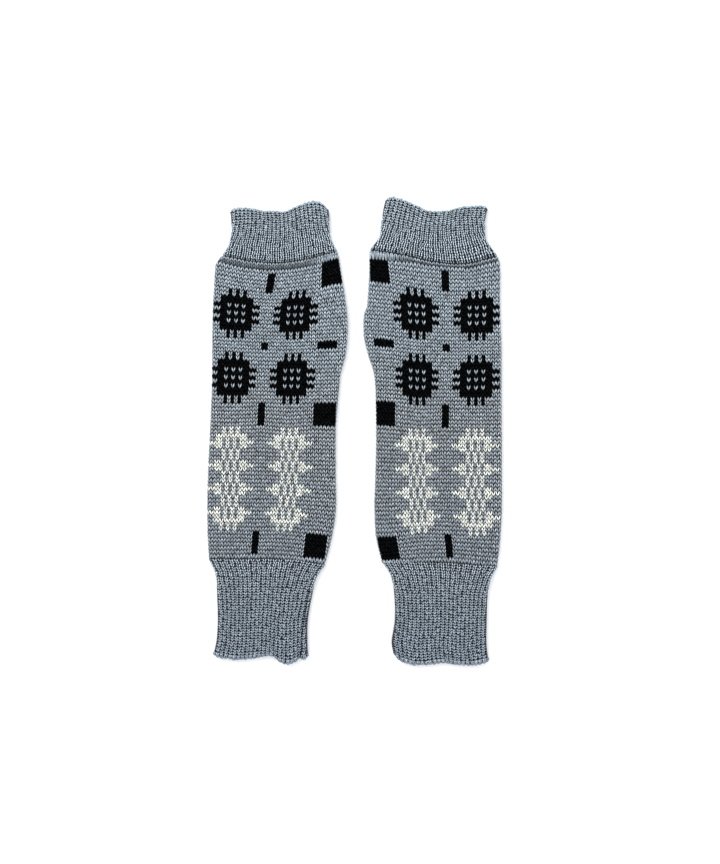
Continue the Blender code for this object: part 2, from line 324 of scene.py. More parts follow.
RIGHT_HEM_EDGE = rows_of("""
24 -141
25.6 -143.6
27.3 -145.7
30.2 -147.9
36.8 -149.8
44.2 -150
51.5 -149
57.3 -148.3
63.2 -149.4
70.6 -150
78 -149.8
83.1 -148.6
85 -147.8
85.8 -145.8
""")
print("points along the finger edges:", len(LEFT_FINGER_EDGE), len(RIGHT_FINGER_EDGE))

# %% [markdown]
# A point of the knitting is known by three numbers: how far round the mitten it is, how far down, and
# how far it stands off the cloth. The section of a flat tube is simple. The top layer runs across,
# turns over at the side fold in a half ellipse, runs back along the floor and turns up again at the
# other fold. The next cells turn the three numbers into a place, for many points at once.

# %% Read a table smoothly
def smooth_step(before, a, b, after, f):
    """A smooth curve between a and b at the share f of the way, aware of the values around them."""
    bend = (2 * before - 5 * a + 4 * b - after) * f**2
    twist = (3 * a - before - 3 * b + after) * f**3
    return 0.5 * (2 * a + (b - before) * f + bend + twist)


def steps_round(share, last):
    """The four steps of a table that lie round a share from 0 to 1, and how far between the middle two."""
    step = np.clip(share, 0, 1) * last
    i = np.minimum(step.astype(int), last - 1)
    return [np.clip(i + k, 0, last) for k in (-1, 0, 1, 2)], step - i


def smooth_rows(table, place):
    """Rows of a table read at places from 0 to 1."""
    table = np.asarray(table, float)
    steps, f = steps_round(place, len(table) - 1)
    return smooth_step(*(table[step] for step in steps), f[:, None])


def row_height(levels, across):
    """The height of each point's own course of stitches, at its share of the width."""
    heights = levels[:, 2:7]
    steps, f = steps_round(across, heights.shape[1] - 1)
    own = np.arange(len(f))
    return smooth_step(*(heights[own, step] for step in steps), f)


print("a quarter down the left body:", smooth_rows(LEFT_BODY, np.array([0.25]))[0, :2].round(1))

# %% [markdown]
# Once round the tube. Bending a flat mesh with a Lattice or a Simple Deform would be quicker to set up,
# but neither knows how long the cloth is, and the stitches would stretch at the folds. Plain sums keep
# every stitch its own size.

# %% Lay points round a flat tube
LAYER_GAP = 0.3
FOLD_PUFF = 0.9
FOLD_PUFF_REACH = 7.0
CLOTH_SINK = 0.7  # how far the plain cloth lies inside the solid's skin, which leaves room for stitches
EDGE_REACH = 12.0  # how far up a rib the waves of its free edge are felt
EDGE_FADE = 1.5
FLOOR_PRESS = 0.16  # below this height a stitch is pressed flat, to a share of its depth
FLOOR_GIVE = 0.07
FOLD_INSET = 0.1  # the stitches stand this far outside the cloth, so its folds lie further in
QUARTER_TURN = 3.0  # length of cloth from a flat layer to the tip of a fold
HALF_TURN = 2 * QUARTER_TURN


def flat_ends(levels, wall):
    """Where the flat top layer begins and ends, and the radius of its folds."""
    radius = wall + LAYER_GAP / 2
    return levels[:, 0] + radius + FOLD_INSET, levels[:, 1] - radius - FOLD_INSET, radius


def once_round(levels, wall):
    start, end, _ = flat_ends(levels, wall)
    return 2 * (end - start) + 2 * HALF_TURN


def in_crease(crease, levels, x, place, half_width):
    """From 0 to 1, how deep in a crease a point lies."""
    grown = np.clip((place - crease.begin) / (crease.full - crease.begin), 0, 1)
    across = crease.across + crease.lean * place**2
    middle = levels[:, 0] + across * (levels[:, 1] - levels[:, 0])
    return grown * np.exp(-(((x - middle) / half_width) ** 2))


def pressed(creases, levels, x, place):
    """How far the creases press the top layer down."""
    depth = np.zeros_like(x)
    for crease in creases:
        depth += crease.depth * in_crease(crease, levels, x, place, crease.half_width)
    return depth


def edge_shift(knit, across, place, length):
    """How far the waves of a free edge move points up the mitten."""
    if knit.edge is None:
        return 0.0
    end = 0.0 if "hand" in knit.name else 1.0
    level = smooth_rows(knit.levels, np.array([end]))
    left, right = level[0, :2]
    wave = np.interp(across, (knit.edge[:, 0] - left) / (right - left), knit.edge[:, 1])
    straight = row_height(np.repeat(level, len(across), axis=0), across)
    fade = np.clip(1 - np.abs(place - end) * length / EDGE_REACH, 0, 1) ** EDGE_FADE
    return fade * (wave - straight)


def off_the_floor(z):
    """Stitches underneath are pressed flat where the mitten rests."""
    return np.where(z < FLOOR_PRESS, FLOOR_PRESS + FLOOR_GIVE * (z - FLOOR_PRESS), z)


def lay_round(knit, around, place, rise):
    """Places in millimetres of points round a piece. around is the x that a point would have if the top
    layer went straight on past its folds. rise is the height above the plain cloth."""
    levels, wall = smooth_rows(knit.levels, place), knit.wall
    start, end, radius = flat_ends(levels, wall)
    loop = once_round(levels, wall)
    floor_middle = end + HALF_TURN + (end - start) / 2
    around = np.where(around > floor_middle, around - loop, around)
    around = np.where(around < floor_middle - loop, around + loop, around)
    lift = levels[:, 7]
    x = np.clip(around, start, end)
    near = np.minimum(x - levels[:, 0], levels[:, 1] - x)
    puff = FOLD_PUFF * np.exp(-((near / FOLD_PUFF_REACH) ** 2))
    low = 2 * wall + LAYER_GAP
    z = low + puff + lift - pressed(knit.creases, levels, x, place) - CLOTH_SINK + rise
    past = np.maximum(around - end, start - around)
    away = np.where(around > end, 1.0, -1.0)
    edge = np.where(around > end, end, start)
    turn = math.pi * np.clip(past / HALF_TURN, 0, 1)
    top = low + FOLD_PUFF + lift
    folded_x = edge + away * (radius - CLOTH_SINK + rise) * np.sin(turn)
    folded_z = top / 2 + (top / 2 - CLOTH_SINK + rise) * np.cos(turn)
    under_x = edge - away * (past - HALF_TURN)
    under_z = CLOTH_SINK - rise
    x = np.where(past > HALF_TURN, under_x, np.where(past > 0, folded_x, x))
    z = np.where(past > HALF_TURN, under_z, np.where(past > 0, folded_z, z))
    across = (x - levels[:, 0]) / (levels[:, 1] - levels[:, 0])
    length = knit.levels[0][4] - knit.levels[-1][4]
    y = row_height(levels, across) - (np.maximum(place - 1, 0) + np.minimum(place, 0)) * length
    y += edge_shift(knit, across, place, length)
    return np.stack([x, y, off_the_floor(z)], axis=1)


# %% [markdown]
# A knitted piece is now a table of levels, its wales and its courses. The wales of the top panel are
# numbered from the left fold to the right, and those of the panel underneath, just as many, go on from
# there until they meet the first one again. The thumb slit is where two neighbouring wales are not
# joined, so the upper layer lifts a little there and the lower one sinks.

# %% One knitted piece, and where its stitches lie
KNIT_PARTS = "name levels wall creases wales line_wales lines heights courses slit_wale rise_wales rises edge"
Knit = namedtuple("Knit", KNIT_PARTS, defaults=(None,) * 4)
Slit = namedtuple("Slit", "first last")
THUMB_SLIT = Slit(10.4, 25.4)
SLIT_LIFT = 0.55  # how far the upper edge of the slit stands up in its middle
SLIT_SINK = 0.5  # how far the lower edge sinks, as a share of that
SLIT_REACH = 1.5  # in wales
COURSE_HEIGHT = 2.44
SHARP_CREASE = 2.0  # creases narrower than this hide the stitches at their bottom
GROOVE_HALF_WIDTH = 0.6
GROOVE_SINK = 0.85
PLACES = np.linspace(0, 1, 400)


def place_of(knit, course):
    """How far down its piece, from 0 to 1, a course lies."""
    y_middle = np.interp(course, knit.heights[:, 0], knit.heights[:, 1])
    levels = smooth_rows(knit.levels, PLACES)[:, 4]
    inside = np.interp(-y_middle, -levels, PLACES)
    length = levels[0] - levels[-1]
    over = np.maximum(levels[-1] - y_middle, 0) - np.maximum(y_middle - levels[0], 0)
    return inside + over / length


def read_down(table, course):
    """The rows of a table at some courses. Its first column holds the courses."""
    table = np.asarray(table, float)
    return np.stack([np.interp(course, table[:, 0], line) for line in table[:, 1:].T], axis=1)


def read_across(knots, rows, wale):
    """The value of each row at its own wale, between the knots."""
    knots = np.asarray(knots, float)
    i = np.clip(np.searchsorted(knots, wale) - 1, 0, len(knots) - 2)
    own = np.arange(len(i))
    share = (wale - knots[i]) / (knots[i + 1] - knots[i])
    return rows[own, i] + share * (rows[own, i + 1] - rows[own, i])


def risen(knit, wale, course):
    """The course, moved up by what the table of rises says."""
    if knit.rises is None:
        return course
    wale = np.where(wale < knit.rise_wales[0], wale + 2 * knit.wales, wale)
    return course - read_across(knit.rise_wales, read_down(knit.rises, course), wale) / COURSE_HEIGHT


def around_of(knit, wale, course, place):
    """How far round its piece a wale lies."""
    lines = read_down(knit.lines, course)
    top = read_across(knit.line_wales, lines, wale)
    loop = once_round(smooth_rows(knit.levels, place), knit.wall)
    under_share = (wale - knit.wales) / knit.wales
    under = lines[:, -1] + under_share * (lines[:, 0] + loop - lines[:, -1])
    return np.where(wale > knit.wales, under, top)


def in_groove(knit, around, place):
    """From 0 to 1, how deep in a sharp groove a point lies."""
    levels = smooth_rows(knit.levels, place)
    deep = np.zeros_like(place)
    for crease in knit.creases:
        if crease.half_width < SHARP_CREASE:
            deep += in_crease(crease, levels, around, place, GROOVE_HALF_WIDTH)
    return deep


def slit_shift(knit, wale, course, upper):
    """How far a point moves up or down because the thumb slit is open."""
    if knit.slit_wale is None:
        return 0.0
    apart = np.abs(wale - knit.slit_wale)
    apart = np.minimum(apart, 2 * knit.wales - apart)
    length = THUMB_SLIT.last - THUMB_SLIT.first
    share = (course - THUMB_SLIT.first) / length
    open_here = np.clip(1 - (2 * share - 1) ** 2, 0, 1)
    amount = SLIT_LIFT * open_here * np.exp(-((apart / SLIT_REACH) ** 2))
    return np.where(upper, amount, -SLIT_SINK * amount)


def lay_stitches(knit, wale, course, rise, upper, sink=0.0):
    """Places in metres of points given by wale, course and height above the plain cloth."""
    course = risen(knit, wale, course)
    place = place_of(knit, course)
    around = around_of(knit, wale, course, place)
    points = lay_round(knit, around, place, rise - sink * in_groove(knit, around, place))
    points[:, 2] += slit_shift(knit, wale, course, upper)
    return points * MM


# %% [markdown]
# Both ribs are worked in one knit stitch and one purl stitch, over and over, so a rib here counts as one
# wale. The ribs fan out a little towards the body, because a rib stretches over what it is joined to:
# fewer of them are seen across the mitten there.

# %% The six knitted pieces
SEAM_GAP = 0.34
CHART_FIRST = -3  # the chart's first column, beside the thumb slit
BODY_WALL = 1.9
RIB_WALL = 1.8
HAND_RIBS = 24
HAND_COURSES = 23
WRIST_RIBS = 22
WRIST_COURSES = 39
PAST_COURSES = 4  # a rib's courses are counted on this far past its two ends

# How many ribs are seen across at each level of a rib, from the fingers down
HAND_SEEN = (25.0, 24.6, 23.2, 21.7, 23.2)
WRIST_SEEN = (20.9, 21.4, 22.6, 23.0, 23.0, 23.0)


def moved(level, shift):
    heights = [value + shift for value in level[2:7]]
    return Level(level.left, level.right, *heights, level.lift)


def rib_lines(levels, ribs, seen):
    """Where the first and the last rib of the top lie at each level, as if the top went straight on."""
    lines = []
    for level, across in zip(levels, seen):
        half = 0.5 * ribs * (level.right - level.left) / across
        middle = (level.left + level.right) / 2
        lines.append((level.y_middle, middle - half, middle + half))
    return lines


def rib_knit(name, levels, creases, ribs, courses, seen, edge):
    top, bottom = levels[0].y_middle, levels[-1].y_middle
    lines = []
    for y, first, last in rib_lines(levels, ribs, seen):
        lines.append((courses * (top - y) / (top - bottom), first, last))
    past = PAST_COURSES * (top - bottom) / courses
    ends = [(0, top), (courses, bottom)]
    heights = [(-PAST_COURSES, top + past), *ends, (courses + PAST_COURSES, bottom - past)]
    return Knit(
        name, levels, RIB_WALL, creases, ribs, [0, ribs], np.array(lines), np.array(heights), courses,
        edge=np.array(edge),
    )


def as_wales(columns, values, thumb_right):
    """Columns of the chart as wales from the left fold, with their table turned round to suit."""
    wales = [column - CHART_FIRST for column in columns]
    values = np.array(values, float)
    if thumb_right:
        wales = [BODY_WALES - wale for wale in wales][::-1]
        values[:, 1:] = values[:, :0:-1]
    return wales, values


def body_knit(name, levels, wales, courses, rises, thumb_right):
    counts, lines = as_wales(CHART_WALES, wales, thumb_right)
    rise_wales, rises = as_wales(RISE_WALES, rises, thumb_right)
    rise_wales.append(rise_wales[0] + 2 * BODY_WALES)
    rises = np.concatenate([rises, rises[:, 1:2]], axis=1)
    slit_wale = BODY_WALES if thumb_right else 0
    return Knit(
        name, levels, BODY_WALL, (), BODY_WALES, counts, lines, np.array(courses, float), BODY_COURSES,
        slit_wale, rise_wales, rises,
    )


def knits_of(side, hand, seam, body, join, wrist, creases, wales, courses, rises, edges):
    half = SEAM_GAP / 2
    hand_levels = hand + [moved(seam._replace(lift=0.0), half)]
    body_levels = [moved(seam, -half)] + body + [moved(join, half)]
    wrist_levels = [moved(join, -half)] + wrist
    return [
        rib_knit(side + "_hand_rib", hand_levels, (), HAND_RIBS, HAND_COURSES, HAND_SEEN, edges[0]),
        body_knit(side + "_body", body_levels, wales, courses, rises, side == "left"),
        rib_knit(
            side + "_wrist_rib", wrist_levels, creases, WRIST_RIBS, WRIST_COURSES, WRIST_SEEN, edges[1]
        ),
    ]


knits = knits_of(
    "left", LEFT_HAND_RIB, LEFT_HAND_SEAM, LEFT_BODY, LEFT_WRIST_JOIN, LEFT_WRIST_RIB,
    LEFT_WRIST_CREASES, LEFT_WALES, LEFT_COURSES, LEFT_RISES, (LEFT_FINGER_EDGE, LEFT_HEM_EDGE),
)
knits += knits_of(
    "right", RIGHT_HAND_RIB, RIGHT_HAND_SEAM, RIGHT_BODY, RIGHT_WRIST_JOIN, RIGHT_WRIST_RIB,
    RIGHT_WRIST_CREASES, RIGHT_WALES, RIGHT_COURSES, RIGHT_RISES, (RIGHT_FINGER_EDGE, RIGHT_HEM_EDGE),
)
print("knitted pieces:", [knit.name for knit in knits])

# %% [markdown]
# The chart. A knitter reads it stitch by stitch: a dot is the grey ground, b is black and c is cream. The
# whole pattern comes from two small motifs, each 13 stitches wide, and some plain squares and bars.

# %% The chart
ROUNDEL = (
    ["....b.b.b...."] * 2
    + ["..bbbbbbbbb.."] * 2
    + ["bbbb.b.b.bbbb", "..bbbbbbbbb.."] * 2
    + ["bbbb.b.b.bbbb"]
    + ["..bbbbbbbbb.."] * 2
    + ["....b.b.b...."] * 2
)
LOBE = ["..cc.c.c.cc..", "cccc.c.c.cccc", "..cc.c.c.cc.."]
WAIST = ["....c.c.c...."] * 3
PRONG_ROWS = ["....c.c.c...."] * 2
BLOCK_END = ["..ccccccccc.."]
PRONGED_BLOCK = PRONG_ROWS + BLOCK_END + (LOBE + WAIST) * 3 + LOBE + BLOCK_END + PRONG_ROWS

# Each figure of the pattern: its first column from the thumb side, its first course, and its rows
SQUARES = [(0, course, ["bbbbbb"] * rows) for course, rows in ((0, 6), (20, 2), (36, 6), (69, 6))]
BARS = [(20, course, ["bb"] * rows) for course, rows in ((1, 5), (20, 2), (36, 6), (69, 6))]
MOTIFS = [(6, ROUNDEL), (23, ROUNDEL), (42, PRONGED_BLOCK)]
FIGURES = SQUARES + BARS + [(column, *motif) for column in (6, 23) for motif in MOTIFS]
GREY, BLACK, CREAM = 0, 1, 2
YARN_OF = {".": GREY, "b": BLACK, "c": CREAM}


def draw_chart():
    chart = np.full((BODY_COURSES - FIRST_COURSE, BODY_WALES), GREY)
    for first_column, first_course, rows in FIGURES:
        for down, row in enumerate(rows):
            for along, mark in enumerate(row):
                course, column = first_course + down, first_column + along
                chart[course - FIRST_COURSE, column - CHART_FIRST] = YARN_OF[mark]
    return chart


chart = draw_chart()
print("stitches in grey, black and cream:", [int((chart == yarn).sum()) for yarn in (GREY, BLACK, CREAM)])

# %% [markdown]
# The yarns. The ground is a marl: two or three shades of blue-grey are carded together, so that no two
# stitches are quite alike. Its colour is also made paler towards the fingers. One attribute carries each
# stitch's colour, with its painted shade, and the material adds what changes along the yarn: mottling
# from a noise on object coordinates, a fine fibre bump, and the soft bloom that wool has at a grazing
# angle, which is what sheen is for.

# %% The wool materials
# Height up the mitten in metres, the colour there, and how fast the painted shade deepens towards a loop's
# ends
GROUND_SHADES = rows_of("""
-0.15 0.225 0.27 0.315 1.2
-0.088 0.248 0.288 0.322 1.2
-0.08 0.3 0.342 0.38 2.2
0 0.345 0.38 0.41 2.4
0.05 0.325 0.378 0.415 1.7
0.15 0.322 0.382 0.428 1.2
""")
BLACK_WOOL = np.array((0.0010, 0.0011, 0.0011))
CREAM_WOOL = np.array((0.84, 0.86, 0.79))
DEEP_SHADE = 0.03  # how much light reaches the lowest part of a loop
TOP_SHADE = 1.7  # and the highest
CREAM_SHADES = (0.5, 1.15)  # light bounces about between pale loops, so they are never as dark


def noise_node(tree, scale, detail):
    """A noise on object coordinates, in patches of a size that the scale sets."""
    places = tree.nodes.new("ShaderNodeTexCoord")
    noise = tree.nodes.new("ShaderNodeTexNoise")
    noise.inputs["Scale"].default_value = scale
    noise.inputs["Detail"].default_value = detail
    tree.links.new(places.outputs["Object"], noise.inputs["Vector"])
    return noise.outputs["Fac"]


def noise_shades(tree, scale, low, high):
    """Nodes that spread the middle of a noise from low to high."""
    shades = tree.nodes.new("ShaderNodeMapRange")
    for socket, value in (("From Min", 0.3), ("From Max", 0.7), ("To Min", low), ("To Max", high)):
        shades.inputs[socket].default_value = value
    tree.links.new(noise_node(tree, scale, 3.0), shades.inputs["Value"])
    return shades.outputs["Result"]


def fibre_bump(tree, scale, height):
    bump = tree.nodes.new("ShaderNodeBump")
    bump.inputs["Strength"].default_value = 0.5
    bump.inputs["Distance"].default_value = height
    tree.links.new(noise_node(tree, scale, 2.0), bump.inputs["Height"])
    return bump.outputs["Normal"]


def matt(name, specular):
    """A matt material, with its nodes and its shader."""
    material = bpy.data.materials.new(name)
    material.use_nodes = True
    shader = material.node_tree.nodes["Principled BSDF"]
    shader.inputs["Roughness"].default_value = 0.9
    shader.inputs["Specular IOR Level"].default_value = specular
    return material, material.node_tree, shader


def wool(name, sheen, specular, mottling, fibres, colour=None):
    """Wool of one colour, or else of each stitch's own. The mottling is a scale, a low and a high shade,
    and the fibres are a scale and a height in metres."""
    material, tree, shader = matt(name, specular)
    shader.inputs["Sheen Weight"].default_value = sheen
    shader.inputs["Sheen Roughness"].default_value = 0.5
    mottled = tree.nodes.new("ShaderNodeMix")
    mottled.data_type = "RGBA"
    mottled.blend_type = "MULTIPLY"
    mottled.inputs["Factor"].default_value = 1.0
    if colour:
        mottled.inputs["A"].default_value = (*colour, 1.0)
    else:
        stitch_colour = tree.nodes.new("ShaderNodeAttribute")
        stitch_colour.attribute_name = "yarn"
        tree.links.new(stitch_colour.outputs["Color"], mottled.inputs["A"])
    tree.links.new(noise_shades(tree, *mottling), mottled.inputs["B"])
    tree.links.new(mottled.outputs["Result"], shader.inputs["Base Color"])
    tree.links.new(fibre_bump(tree, *fibres), shader.inputs["Normal"])
    return material


STITCH_MOTTLING = (800.0, 0.65, 1.35)
STITCH_FIBRES = (5000.0, 0.0002)
CLOTH_MOTTLING = (900.0, 0.5, 1.4)
CLOTH_FIBRES = (1500.0, 0.0004)
knitted_wool = wool("mottled_knitting_wool", 0.1, 0.1, STITCH_MOTTLING, STITCH_FIBRES)
black_wool = wool("black_knitting_wool", 0.0, 0.01, STITCH_MOTTLING, STITCH_FIBRES)
# Painted shade: the cloth behind the stitches is near black, so the gaps between stitches look shaded.
painted_shade_wool = wool(
    "shaded_wool_behind_stitches", 0.05, 0.1, CLOTH_MOTTLING, CLOTH_FIBRES, (0.007, 0.008, 0.010)
)
inner_wool = wool("inside_wool", 0.05, 0.1, CLOTH_MOTTLING, CLOTH_FIBRES, (0.19, 0.22, 0.25))
print("materials:", [wool.name for wool in (knitted_wool, black_wool, painted_shade_wool, inner_wool)])

# %% [markdown]
# The plain cloth behind the stitches is a thin shell: a grid whose two long edges meet along the thumb
# side, sewn together there by merging their points, except along the slit. A Solidify modifier then gives
# it thickness, inwards. Its outer side is painted near black, as painted shade that shows in the gaps
# between the stitches. The rims and the inner side take the lighter wool that shows inside the cuffs.

# %% The cloth of each piece
CLOTH_THICKNESS = 0.9
COLUMNS_PER_RIB = 4
RIB_SWELL = 0.35  # how far the cloth follows a rib out
RIB_RINGS = {"hand": 18, "wrist": 22}
BODY_GRID = (80, 78)
CLOTH_STOP = 0.6  # how many courses short of a free edge the cloth ends, behind the edge's own loops
CLOTH_TUCK = 0.15  # how much higher than the linked seam the cloth of a body begins
LAST_COLUMN = 0.999
MERGE = 0.00001


def rib_swell(knit, wale):
    return RIB_SWELL * (1 - np.cos(2 * math.pi * wale)) if knit.slit_wale is None else 0 * wale


def cloth_grid(columns, rings):
    """A flat grid of points, from 0 to 1 in both directions."""
    bm = bmesh.new()
    uv = bm.loops.layers.uv.new("OFBake")
    bmesh.ops.create_grid(bm, x_segments=columns, y_segments=rings, size=0.5, calc_uvs=True)
    for face in bm.faces:
        for loop in face.loops:
            loop[uv].uv = (loop.vert.co.x + 0.5, 0.5 - loop.vert.co.y)
    return bm


def cloth(knit, columns, rings, first_course, last_course):
    bm = cloth_grid(columns, rings)
    bm.verts.ensure_lookup_table()
    flat = np.array([vert.co for vert in bm.verts])
    share = flat[:, 0] + 0.5
    all_wales = 2 * knit.wales
    seam_wale = knit.slit_wale or 0
    wale = (seam_wale + share * all_wales) % all_wales
    wale = np.where((share > LAST_COLUMN) & (seam_wale == 0), all_wales, wale)
    course = first_course + (0.5 - flat[:, 1]) * (last_course - first_course)
    upper = (share < 0.5) == (seam_wale == 0)
    points = lay_stitches(knit, wale, course, rib_swell(knit, wale), upper)
    for vert, point in zip(bm.verts, points):
        vert.co = point
    in_slit = (course > THUMB_SLIT.first) & (course < THUMB_SLIT.last) & (knit.slit_wale is not None)
    sewn = [vert for vert, cut in zip(bm.verts, in_slit) if not cut]
    bmesh.ops.remove_doubles(bm, verts=sewn, dist=MERGE)
    bmesh.ops.recalc_face_normals(bm, faces=bm.faces)
    obj = piece_of(bm, knit.name + "_cloth", [painted_shade_wool, inner_wool])
    wall = obj.modifiers.new("thickness", "SOLIDIFY")
    wall.thickness = CLOTH_THICKNESS * MM
    wall.offset = -1.0
    wall.material_offset = 1
    wall.material_offset_rim = 1
    return obj


def mesh_of(bm, name):
    mesh = bpy.data.meshes.new(name)
    bm.to_mesh(mesh)
    bm.free()
    return mesh


def put(name, data):
    """A new object in the scene."""
    obj = bpy.data.objects.new(name, data)
    bpy.context.scene.collection.objects.link(obj)
    return obj


def piece_of(bm, name, materials):
    mesh = mesh_of(bm, name)
    mesh.shade_smooth()
    for material in materials:
        mesh.materials.append(material)
    return put(name, mesh)


cloths = {}
for knit in knits:
    side, part = knit.name.split("_")[:2]
    if part == "body":
        cloths[knit.name] = cloth(knit, *BODY_GRID, LINK_COURSE[side] - CLOTH_TUCK, BODY_COURSES)
    else:
        first, last = (CLOTH_STOP, knit.courses) if part == "hand" else (0, knit.courses - CLOTH_STOP)
        cloths[knit.name] = cloth(knit, COLUMNS_PER_RIB * 2 * knit.wales, RIB_RINGS[part], first, last)
    print(knit.name, "cloth has", len(cloths[knit.name].data.polygons), "faces")

# %% [markdown]
# One stitch of stocking stitch. What shows of a loop is its two legs, which stand in a V: they come up
# through the loop below, lean outwards and go down behind the loop above. Each leg is a short length of
# yarn, made of rings of four points bridged into a tube and closed at both ends. Four points with smooth
# shading look round at this size, and keep the whole panel light enough.

# %% A short length of yarn
Strand = namedtuple("Strand", "x y z width depth")  # the columns of each path of yarn
UV_MARGIN = 0.1  # each face fills the middle of its own small square of the bake map
UV_SIDE = 0.8
CORNERS = ((0, 0), (1, 0), (1, 1), (0, 1), (0, 0.5))  # places on it for a face of up to five points


def edges_of(points):
    """The edges at some points, always in the same order."""
    return list(dict.fromkeys(edge for point in points for edge in point.link_edges))


def yarn_ring(bm, here, along, sides):
    """A ring across the yarn, as wide and as deep as the strand says."""
    side = along.cross(UP).normalized()
    upward = side.cross(along).normalized()
    axes = Matrix((side * here.width, upward * here.depth, along.normalized())).transposed().to_4x4()
    axes.translation = (here.x, here.y, here.z)
    made = bmesh.ops.create_circle(bm, cap_ends=False, segments=sides, radius=1.0, matrix=axes)
    return edges_of(made["verts"])


def lay_yarn(bm, path, sides=4):
    """A closed length of yarn along a path of strands."""
    path = [Strand(*point) for point in path]
    rings = []
    for i, here in enumerate(path):
        before = path[max(i - 1, 0)]
        after = path[min(i + 1, len(path) - 1)]
        along = Vector(after[:3]) - Vector(before[:3])
        rings.append(yarn_ring(bm, here, along, sides))
    for first, second in zip(rings, rings[1:]):
        bmesh.ops.bridge_loops(bm, edges=first + second)
    bmesh.ops.edgeloop_fill(bm, edges=rings[0])
    bmesh.ops.edgeloop_fill(bm, edges=rings[-1])


def mirrored(path):
    return [(-x, *rest) for x, *rest in path]


def unit_mesh(bm, name):
    """A finished unit: normals out, and each face with its own place on the bake map."""
    bmesh.ops.recalc_face_normals(bm, faces=bm.faces)
    uv = bm.loops.layers.uv.new("OFBake")
    across = math.ceil(math.sqrt(len(bm.faces)))
    down = math.ceil(len(bm.faces) / across)
    for number, face in enumerate(bm.faces):
        row, column = divmod(number, across)
        for loop, (right, up) in zip(face.loops, CORNERS):
            u, v = column + UV_MARGIN + UV_SIDE * right, row + UV_MARGIN + UV_SIDE * up
            loop[uv].uv = (u / across, v / down)
    return mesh_of(bm, name)


# %% [markdown]
# The stitches differ only in the paths of their yarn. A body stitch is a V of two legs. A rib has the two
# legs of a knit stitch and, half a rib away, the small bump of the purl stitch beside it. Those underneath
# press on the table and are seldom seen, so they have flatter yarn with three sides.

# %% The stitches
BODY_CELL = (2.25, 2.5)
BODY_LEG = rows_of("""
0.12 -1.98 0.05 0.17 0.17
0.32 -1.22 0.46 0.34 0.33
0.70 -0.10 0.68 0.37 0.36
1.02 1.16 0.14 0.20 0.18
""")
UNDER_LEG = rows_of("""
0.20 -1.9 0.20 0.24 0.18
0.53 -0.6 0.34 0.48 0.34
0.95 0.95 0.20 0.28 0.18
""")
RIB_CELL = (3.0, 2.0)
RIB_LEG = rows_of("""
0.20 -1.25 0.35 0.19 0.20
0.34 -0.60 0.96 0.29 0.32
0.62 0.15 1.06 0.30 0.32
0.84 0.85 0.40 0.19 0.20
""")
PURL_BUMP = rows_of("""
-0.62 0.40 0.32 0.22 0.22
0 -0.05 0.76 0.32 0.30
0.62 0.40 0.32 0.22 0.22
""")
UNDER_RIB_LEG = rows_of("""
0.16 -1.5 0.22 0.22 0.18
0.40 -0.4 0.34 0.42 0.34
0.66 0.8 0.22 0.26 0.18
""")
HAND_PULLED = (6, 15)  # the courses between which a hand rib is pulled wider and wider
WRIST_PULLED = (5, 12)  # and those between which a wrist rib is pulled less and less
WRIST_PULL = 0.5
STRETCH_SINK = 0.5  # how far the purl bumps sink where a rib is pulled wide
LEG_PART = 0.38  # how far the feet of the two legs part there, so that the legs stand upright
END_LIFT = 0.38  # how far the ends of the legs rise there, so that they run on as one long line
LEG_REACH = 0.95  # a point of a knit stitch is no further than this from its middle


def legs(path):
    """A leg and its mirror image."""
    return path, mirrored(path)


def unit_of(name, *paths, sides=4):
    """A unit of one or more lengths of yarn."""
    bm = bmesh.new()
    for path in paths:
        lay_yarn(bm, path, sides)
    return unit_mesh(bm, name)


purl = [(x - RIB_CELL[0] / 2, *rest) for x, *rest in PURL_BUMP]
body_stitch = unit_of("body_stitch", *legs(BODY_LEG))
under_stitch = unit_of("under_stitch", *legs(UNDER_LEG), sides=3)
rib_unit = unit_of("rib_stitch", *legs(RIB_LEG), purl)
under_rib_unit = unit_of("under_rib_stitch", *legs(UNDER_RIB_LEG), purl, sides=3)
print("faces in one body stitch:", len(body_stitch.polygons), "and one rib:", len(rib_unit.polygons))

# %% [markdown]
# From one stitch to a flat panel. Two Array modifiers repeat the stitch across and down, and step its
# place on the bake map as they go, so every stitch keeps its own corner of the map.

# %% Repeat a stitch
def repeated(unit, cell, columns, rows):
    """The points, faces and bake map of a flat panel of one unit, as a mesh."""
    obj = put("panel", unit.copy())
    for count, axis, size in ((columns, 0, cell[0]), (rows, 1, -cell[1])):
        array = obj.modifiers.new("repeat", "ARRAY")
        array.count = count
        array.use_relative_offset = False
        array.use_constant_offset = True
        step = [0.0, 0.0, 0.0]
        step[axis] = size
        array.constant_offset_displace = step
    obj.modifiers[0].offset_u = 1 / columns
    obj.modifiers[1].offset_v = 1 / rows
    for loop in obj.data.uv_layers["OFBake"].data:
        loop.uv = (loop.uv[0] / columns, loop.uv[1] / rows)
    ready = obj.evaluated_get(bpy.context.evaluated_depsgraph_get())
    mesh = bpy.data.meshes.new_from_object(ready)
    bpy.data.objects.remove(obj)
    return mesh


# %% [markdown]
# The colour of each point, with light and shade painted into it. Light hardly reaches the low ends of a
# loop, between its neighbours, so they are painted dark and the tops painted light, and the yarn itself
# changes from leg to leg. Black wool shows little of that, and cream wool passes light on.

# %% Colour the loops
SHADE_LIMITS = (0.35, 1.7)
BLACK_SHADES = 0.4  # how much of the change from leg to leg each wool shows
PALE_SHADES = 0.3


